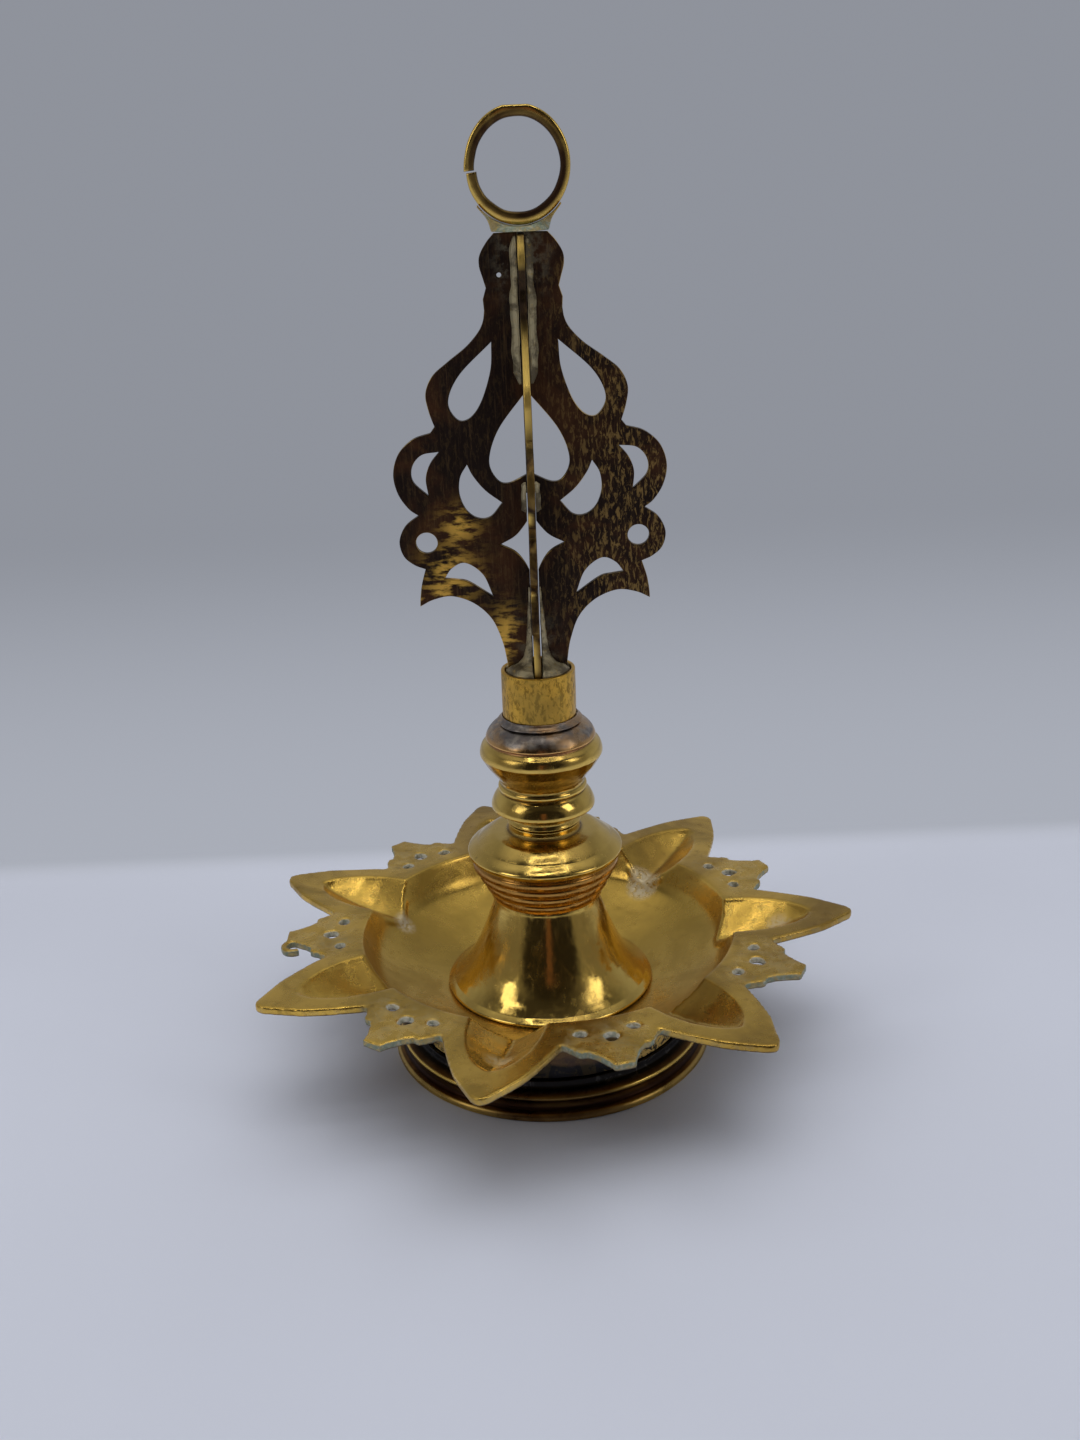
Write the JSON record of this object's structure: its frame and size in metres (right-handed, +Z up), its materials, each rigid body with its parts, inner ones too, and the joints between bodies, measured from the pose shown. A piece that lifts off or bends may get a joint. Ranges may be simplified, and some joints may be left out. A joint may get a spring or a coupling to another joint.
{
  "type": "sabbath oil lamp",
  "caption": "Star-shaped brass oil lamp: spouted pan with pierced crests on a drum foot, turned stem, openwork shaft of crossed plates and a hanging ring.",
  "frame": {"origin": "on the stem's axis at ground level: the middle of the foot ring's underside, where the tie rod's end lies", "axes": "+Z up along the stem, -Y towards the flat side of the hanging ring, +X to the right seen from there"},
  "size_m": [0.1913, 0.1956, 0.2921],
  "materials": {
    "polished_brass": "turned and polished, warm gold, fine turning lines",
    "cast_brass": "cast, filed flat on the rim, olive gold with verdigris in the corners",
    "tarnished_brass": "dark brown tarnish with upright brush marks and bright edges",
    "copper_brass": "turned, copper toned",
    "dark_drum": "nearly black patina with gold flecks",
    "solder": "grey-green soft solder, matt"
  },
  "bodies": {
    "root": {"foot_ring": "polished_brass", "base_drum": "dark_drum", "drum_seam": "solder", "star_pan": "cast_brass", "trumpet_foot": "polished_brass", "stepped_spacer": "copper_brass", "drip_bell": "polished_brass", "upper_knop": "polished_brass", "collar_tube": "cast_brass", "collar_seam": "solder", "side_plate": "tarnished_brass", "front_plate": "tarnished_brass", "suspension_ring": "polished_brass", "ring_saddle": "cast_brass", "tie_rod": "polished_brass", "clamp_washer": "cast_brass", "clamp_nut": "cast_brass", "collar_solder_back_right": "solder", "waist_solder_back_right": "solder", "neck_solder_back_right": "solder", "collar_solder_back_left": "solder", "waist_solder_back_left": "solder", "neck_solder_back_left": "solder", "collar_solder_front_left": "solder", "waist_solder_front_left": "solder", "neck_solder_front_left": "solder", "collar_solder_front_right": "solder", "waist_solder_front_right": "solder", "neck_solder_front_right": "solder"}
  },
  "joints": []
}
